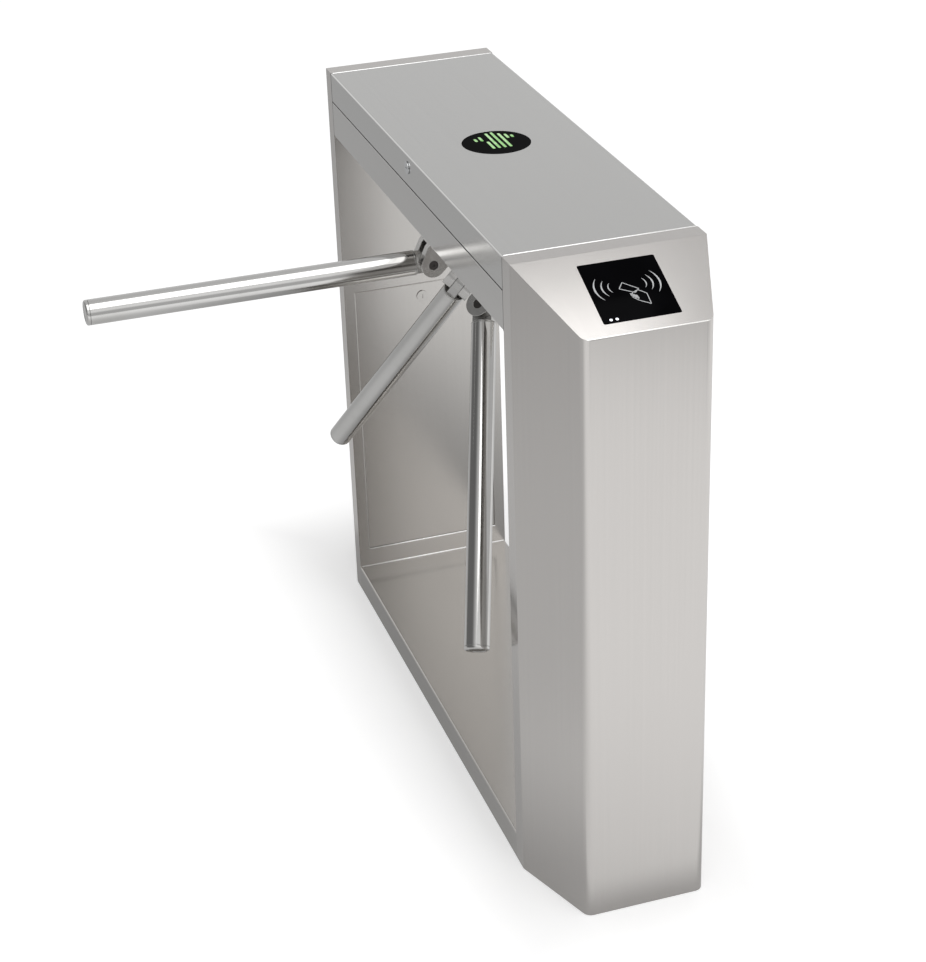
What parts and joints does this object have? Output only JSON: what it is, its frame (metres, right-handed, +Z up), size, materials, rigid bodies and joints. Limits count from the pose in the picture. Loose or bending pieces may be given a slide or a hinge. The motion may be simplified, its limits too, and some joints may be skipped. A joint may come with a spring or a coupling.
{
  "type": "tripod turnstile",
  "caption": "Waist-high tripod turnstile: a brushed stainless bridge cabinet on box legs, with a rotating drop-arm head, locking pawls, a damper, a hinged lid and leg doors.",
  "frame": {"origin": "on the floor at the middle of the cabinet, midway between the legs", "axes": "+X along the cabinet, towards the leg with the power supply; the arms reach out to -Y; +Z up"},
  "size_m": [1.2, 0.7873, 0.98],
  "materials": {
    "shell_steel": "fine vertical brushing",
    "lid_steel": "fine brushing along the lid",
    "base_steel": "brighter, smoother brushing",
    "inner_steel": "plain sheet",
    "foot_steel": "zinc primer",
    "arm_polish": "polished stainless tube",
    "hub_cast": "bead blasted stainless casting",
    "root_steel": "turned stainless",
    "lock_zinc": "plated lock",
    "hinge_zinc": "plain hinge",
    "screw_steel": "plated screws",
    "black_screw": "blackened screws",
    "window_black": "smoked window with a lit pictogram",
    "glass_black": "black printed glass with a pale symbol",
    "module_plastic": "moulded housing",
    "board_green": "circuit board",
    "seal_rubber": "sponge seal",
    "plate_zinc": "zinc plated plate",
    "housing_iron": "machined casting",
    "bearing_steel": "ground steel",
    "shaft_steel": "turned steel",
    "index_steel": "hardened disc",
    "gear_brass": "cut gear",
    "damper_black": "damper case",
    "pawl_steel": "hardened lever",
    "solenoid_coil": "enamelled coil case",
    "sensor_brass": "threaded sensor",
    "supply_alu": "folded case",
    "loom_black": "sleeved cable"
  },
  "bodies": {
    "cabinet": {"base_tray": "base_steel", "near_leg_shell": "shell_steel", "far_leg_shell": "shell_steel", "leg_panels": "inner_steel", "foot_plates": "foot_steel", "beam_tray": "shell_steel", "lid_gasket": "seal_rubber", "lock_keeper": "plate_zinc", "beam_hinge_leaves": "hinge_zinc", "hinge_pins": "screw_steel", "reader_windows": "glass_black", "reader_modules": "module_plastic", "mechanism_cowl": "shell_steel", "cowl_screws": "screw_steel", "front_plate": "plate_zinc", "rear_plate": "plate_zinc", "side_plates": "plate_zinc", "frame_hangers": "plate_zinc", "bearing_housing": "housing_iron", "shaft_bearings": "bearing_steel", "damper": "damper_black", "pawl_pins": "screw_steel", "solenoids": "solenoid_coil", "position_sensors": "sensor_brass", "power_supply": "supply_alu", "control_board": "board_green", "equipment_plates": "plate_zinc", "main_loom": "loom_black"},
    "lid": {"lid": "lid_steel", "lid_hinge_leaves": "hinge_zinc", "indicator_window": "window_black", "indicator_board": "board_green"},
    "lid_lock": {"lid_lock": "lock_zinc"},
    "near_door": {"near_leg_door": "inner_steel"},
    "near_door_lock": {"near_door_lock": "lock_zinc"},
    "far_door": {"far_leg_door": "inner_steel"},
    "far_door_lock": {"far_door_lock": "lock_zinc"},
    "head": {"main_shaft": "shaft_steel", "shaft_nut": "screw_steel", "hub": "hub_cast", "hub_cap": "root_steel", "hub_screws": "screw_steel", "pivot_pins": "black_screw", "index_disc": "index_steel", "damper_gear": "gear_brass"},
    "blocking_arm": {"blocking_arm": "arm_polish", "blocking_arm_root": "root_steel", "blocking_arm_cap": "arm_polish"},
    "near_arm": {"near_arm": "arm_polish", "near_arm_root": "root_steel", "near_arm_cap": "arm_polish"},
    "far_arm": {"far_arm": "arm_polish", "far_arm_root": "root_steel", "far_arm_cap": "arm_polish"},
    "damper_pinion": {"damper_pinion": "gear_brass"},
    "near_pawl": {"near_pawl": "pawl_steel"},
    "far_pawl": {"far_pawl": "pawl_steel"},
    "near_plunger": {"near_plunger": "bearing_steel"},
    "far_plunger": {"far_plunger": "bearing_steel"}
  },
  "joints": [
    {"name": "head_spin", "type": "hinge", "parent": "cabinet", "child": "head", "pos_m": [0, -0.022, 0.808], "axis": [0, -0.7071, -0.7071], "continuous": true},
    {"name": "blocking_arm_drop", "type": "hinge", "parent": "head", "child": "blocking_arm", "pos_m": [0, -0.112, 0.808], "axis": [1, 0, 0], "range_deg": [0, 90]},
    {"name": "near_arm_drop", "type": "hinge", "parent": "head", "child": "near_arm", "pos_m": [0.05511, -0.0445, 0.7405], "axis": [-0.5, 0.6124, -0.6124], "range_deg": [0, 45]},
    {"name": "far_arm_drop", "type": "hinge", "parent": "head", "child": "far_arm", "pos_m": [-0.05511, -0.0445, 0.7405], "axis": [-0.5, -0.6124, 0.6124], "range_deg": [0, 45]},
    {"name": "lid_hinge", "type": "hinge", "parent": "cabinet", "child": "lid", "pos_m": [0, 0.1448, 0.931], "axis": [-1, 0, 0], "range_deg": [0, 85]},
    {"name": "lid_lock_turn", "type": "hinge", "parent": "lid", "child": "lid_lock", "pos_m": [0, -0.14, 0.96], "axis": [0, -1, 0], "range_deg": [0, 90]},
    {"name": "near_door_tilt", "type": "hinge", "parent": "cabinet", "child": "near_door", "pos_m": [0.4315, 0, 0.082], "axis": [0, -1, 0], "range_deg": [0, 15]},
    {"name": "near_door_lock_turn", "type": "hinge", "parent": "near_door", "child": "near_door_lock", "pos_m": [0.43, 0, 0.562], "axis": [1, 0, 0], "range_deg": [0, 90]},
    {"name": "far_door_tilt", "type": "hinge", "parent": "cabinet", "child": "far_door", "pos_m": [-0.4315, 0, 0.082], "axis": [0, 1, 0], "range_deg": [0, 15]},
    {"name": "far_door_lock_turn", "type": "hinge", "parent": "far_door", "child": "far_door_lock", "pos_m": [-0.43, 0, 0.562], "axis": [1, 0, 0], "range_deg": [0, 90]},
    {"name": "damper_spin", "type": "hinge", "parent": "cabinet", "child": "damper_pinion", "pos_m": [0, 0.01548, 0.9275], "axis": [0, -0.7071, -0.7071], "continuous": true},
    {"name": "near_pawl_swing", "type": "hinge", "parent": "cabinet", "child": "near_pawl", "pos_m": [0.0575, 0.03195, 0.92983], "axis": [0, 0.7071, 0.7071], "range_deg": [0, 10], "stiffness_Nm_per_rad": 0.3, "springref_deg": -8.59},
    {"name": "far_pawl_swing", "type": "hinge", "parent": "cabinet", "child": "far_pawl", "pos_m": [-0.0575, 0.03195, 0.92983], "axis": [0, -0.7071, -0.7071], "range_deg": [0, 10], "stiffness_Nm_per_rad": 0.3, "springref_deg": -8.59},
    {"name": "near_plunger_slide", "type": "slide", "parent": "cabinet", "child": "near_plunger", "axis": [1, 0, 0], "range_m": [0, 0.00591]},
    {"name": "far_plunger_slide", "type": "slide", "parent": "cabinet", "child": "far_plunger", "axis": [-1, 0, 0], "range_m": [0, 0.00591]}
  ],
  "couplings": [
    {"joint": "damper_spin", "follows": "head_spin", "ratio": -2.2222},
    {"joint": "near_plunger_slide", "follows": "near_pawl_swing", "m_per_rad": 0.033828},
    {"joint": "far_plunger_slide", "follows": "far_pawl_swing", "m_per_rad": 0.033828}
  ]
}
